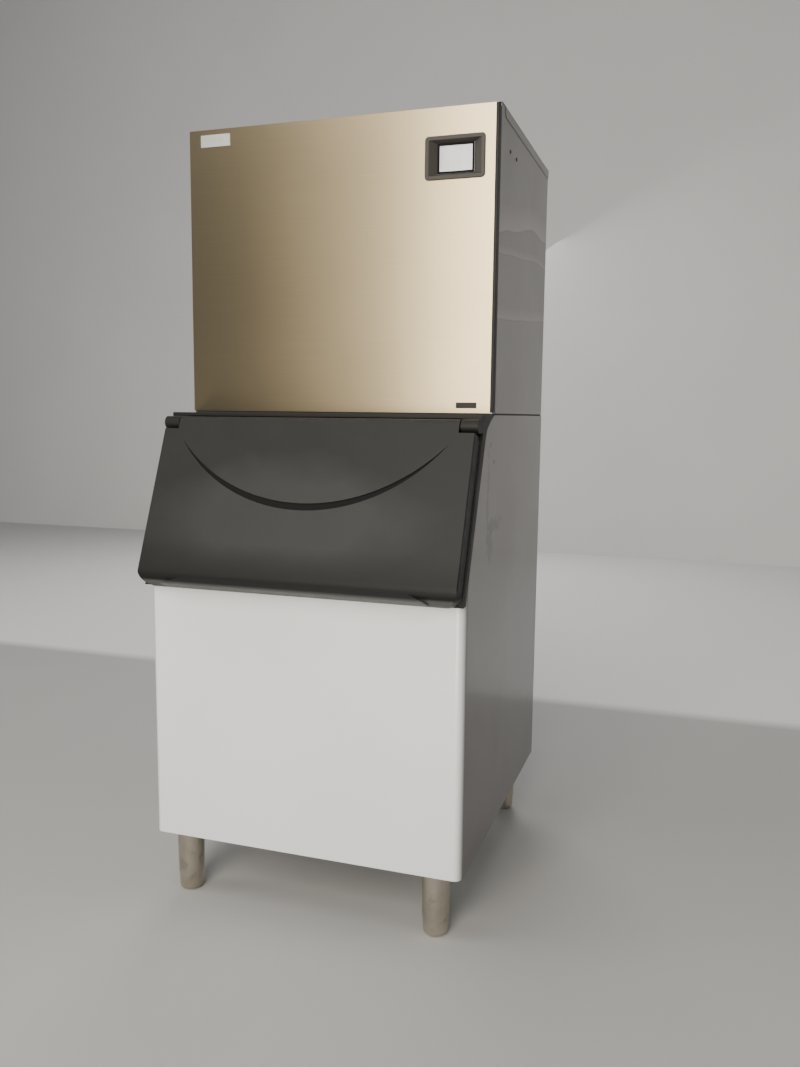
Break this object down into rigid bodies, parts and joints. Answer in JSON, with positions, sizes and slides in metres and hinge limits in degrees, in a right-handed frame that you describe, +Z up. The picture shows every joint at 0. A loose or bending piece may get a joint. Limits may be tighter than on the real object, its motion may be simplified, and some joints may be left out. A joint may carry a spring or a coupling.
{
  "type": "cube ice machine",
  "caption": "Cube ice machine: an ice making head with stainless front and small display, on an insulated bin with sloping lift-up door and adjustable feet.",
  "frame": {"origin": "middle of the machine's box at floor level", "axes": "+Z up, +X to the right seen from the door, the door faces -Y"},
  "size_m": [0.76, 0.9276, 1.834],
  "materials": {
    "white_paint": "gloss white paint",
    "galvanised": "zinc coated sheet",
    "head_paint": "gloss grey paint",
    "foam": "rigid foam",
    "liner_plastic": "white food plastic",
    "black_plastic": "fine textured black plastic",
    "gasket_rubber": "soft rubber",
    "stainless": "brushed",
    "screw_steel": "plain",
    "screen": "pale lilac grey screen",
    "copper": "copper",
    "valve_brass": "brass",
    "float_foam": "white float",
    "black_enamel": "black enamel",
    "board": "green circuit board"
  },
  "bodies": {
    "cabinet": {"bin_base": "galvanised", "bin_drain": "black_plastic", "bin_insulation": "foam", "bin_liner": "liner_plastic", "bin_rear_panel": "galvanised", "bin_top_gasket": "gasket_rubber", "bin_wrap": "white_paint", "cable_gland": "black_plastic", "circuit_board": "board", "compressor": "black_enamel", "compressor_mounts": "gasket_rubber", "condenser": "galvanised", "control_box": "galvanised", "display_bezel": "black_plastic", "display_screen": "screen", "door_frame": "black_plastic", "evaporator_coil": "copper", "evaporator_frame": "liner_plastic", "evaporator_plate": "copper", "fan_motor": "black_plastic", "fan_shroud": "galvanised", "filter_drier": "copper", "float_switch": "black_plastic", "front_frame": "black_plastic", "front_panel": "stainless", "head_base": "galvanised", "head_posts": "galvanised", "hinge_pins": "stainless", "ice_guide": "liner_plastic", "inlet_valve": "valve_brass", "leg_front_left": "stainless", "leg_front_right": "stainless", "leg_rear_left": "stainless", "leg_rear_right": "stainless", "name_plate": "stainless", "panel_tag": "black_plastic", "partition": "galvanised", "rear_panel": "galvanised", "refrigerant_lines": "copper", "side_panel_left": "head_paint", "side_panel_right": "head_paint", "side_screws": "screw_steel", "top_cover": "head_paint", "trough_drain": "black_plastic", "water_distributor": "liner_plastic", "water_hoses": "gasket_rubber", "water_pump": "black_plastic", "water_trough": "liner_plastic"},
    "bin_door": {"door_skin": "black_plastic", "door_insulation": "foam", "door_liner": "liner_plastic", "door_gasket": "gasket_rubber"},
    "curtain": {"water_curtain": "liner_plastic"},
    "fan_rotor": {"fan": "black_plastic"},
    "float_body": {"level_float": "float_foam"},
    "foot_front_left": {"foot_front_left": "stainless"},
    "foot_front_right": {"foot_front_right": "stainless"},
    "foot_rear_left": {"foot_rear_left": "stainless"},
    "foot_rear_right": {"foot_rear_right": "stainless"}
  },
  "joints": [
    {"name": "bin_door_hinge", "type": "hinge", "parent": "cabinet", "child": "bin_door", "pos_m": [0, -0.30493, 1.1315], "axis": [-1, 0, 0], "range_deg": [0, 165]},
    {"name": "curtain_hinge", "type": "hinge", "parent": "cabinet", "child": "curtain", "pos_m": [0.154, 0.16107, 1.745], "axis": [-1, 0, 0], "range_deg": [0, 35]},
    {"name": "fan_spin", "type": "hinge", "parent": "cabinet", "child": "fan_rotor", "pos_m": [-0.22, 0.33587, 1.3062], "axis": [0, 1, 0], "continuous": true},
    {"name": "float_rise", "type": "slide", "parent": "cabinet", "child": "float_body", "axis": [0, 0, 1], "range_m": [0, 0.02]},
    {"name": "foot_front_left_screw", "type": "slide", "parent": "cabinet", "child": "foot_front_left", "axis": [0, 0, -1], "range_m": [0, 0.025]},
    {"name": "foot_front_right_screw", "type": "slide", "parent": "cabinet", "child": "foot_front_right", "axis": [0, 0, -1], "range_m": [0, 0.025]},
    {"name": "foot_rear_left_screw", "type": "slide", "parent": "cabinet", "child": "foot_rear_left", "axis": [0, 0, -1], "range_m": [0, 0.025]},
    {"name": "foot_rear_right_screw", "type": "slide", "parent": "cabinet", "child": "foot_rear_right", "axis": [0, 0, -1], "range_m": [0, 0.025]}
  ]
}
